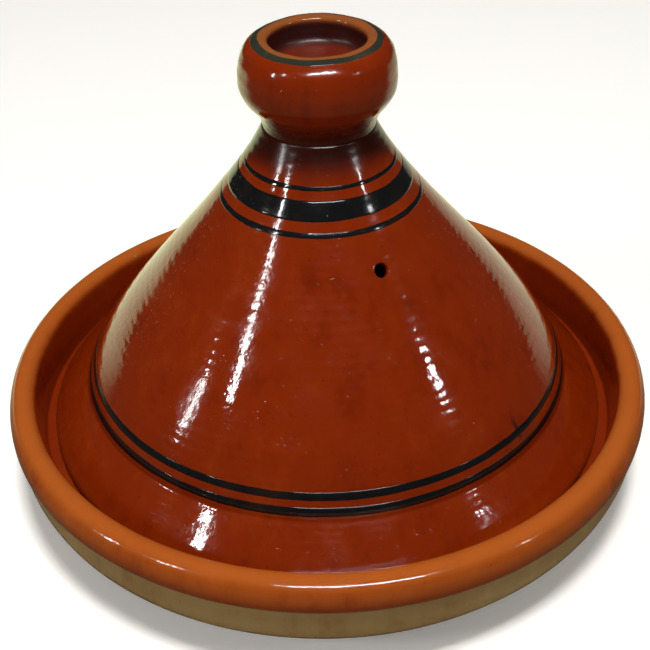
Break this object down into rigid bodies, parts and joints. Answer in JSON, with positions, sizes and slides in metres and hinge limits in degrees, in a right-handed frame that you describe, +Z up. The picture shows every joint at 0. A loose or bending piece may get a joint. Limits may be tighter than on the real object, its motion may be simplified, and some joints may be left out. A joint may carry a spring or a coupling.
{
  "type": "tagine pot",
  "caption": "Glazed earthenware cooking pot: shallow round dish with a rolled rim, and a hollow conical lid with a steam vent and a cup-shaped knob that lifts off.",
  "frame": {"origin": "on the table, under the middle of the dish's flat foot", "axes": "+Z up along the pot's turning axis, -Y towards the steam vent in the lid"},
  "size_m": [0.3, 0.3, 0.2129],
  "materials": {
    "orange_glaze": "thin honey-orange lead-look glaze over earthenware, semi-gloss",
    "brown_glaze": "deep red-brown glaze, glossy, with orange-peel ripple and fine specks",
    "black_slip": "blue-black brushed slip under clear glaze, glossy",
    "bare_clay": "unglazed fired earthenware, matt"
  },
  "bodies": {
    "dish": {"dish_bowl": "orange_glaze"},
    "lid": {"lid_cone": "brown_glaze", "lid_knob": "brown_glaze"}
  },
  "joints": [
    {"name": "lid_lift", "type": "slide", "parent": "dish", "child": "lid", "axis": [0, 0, 1], "range_m": [0, 0.2]}
  ]
}
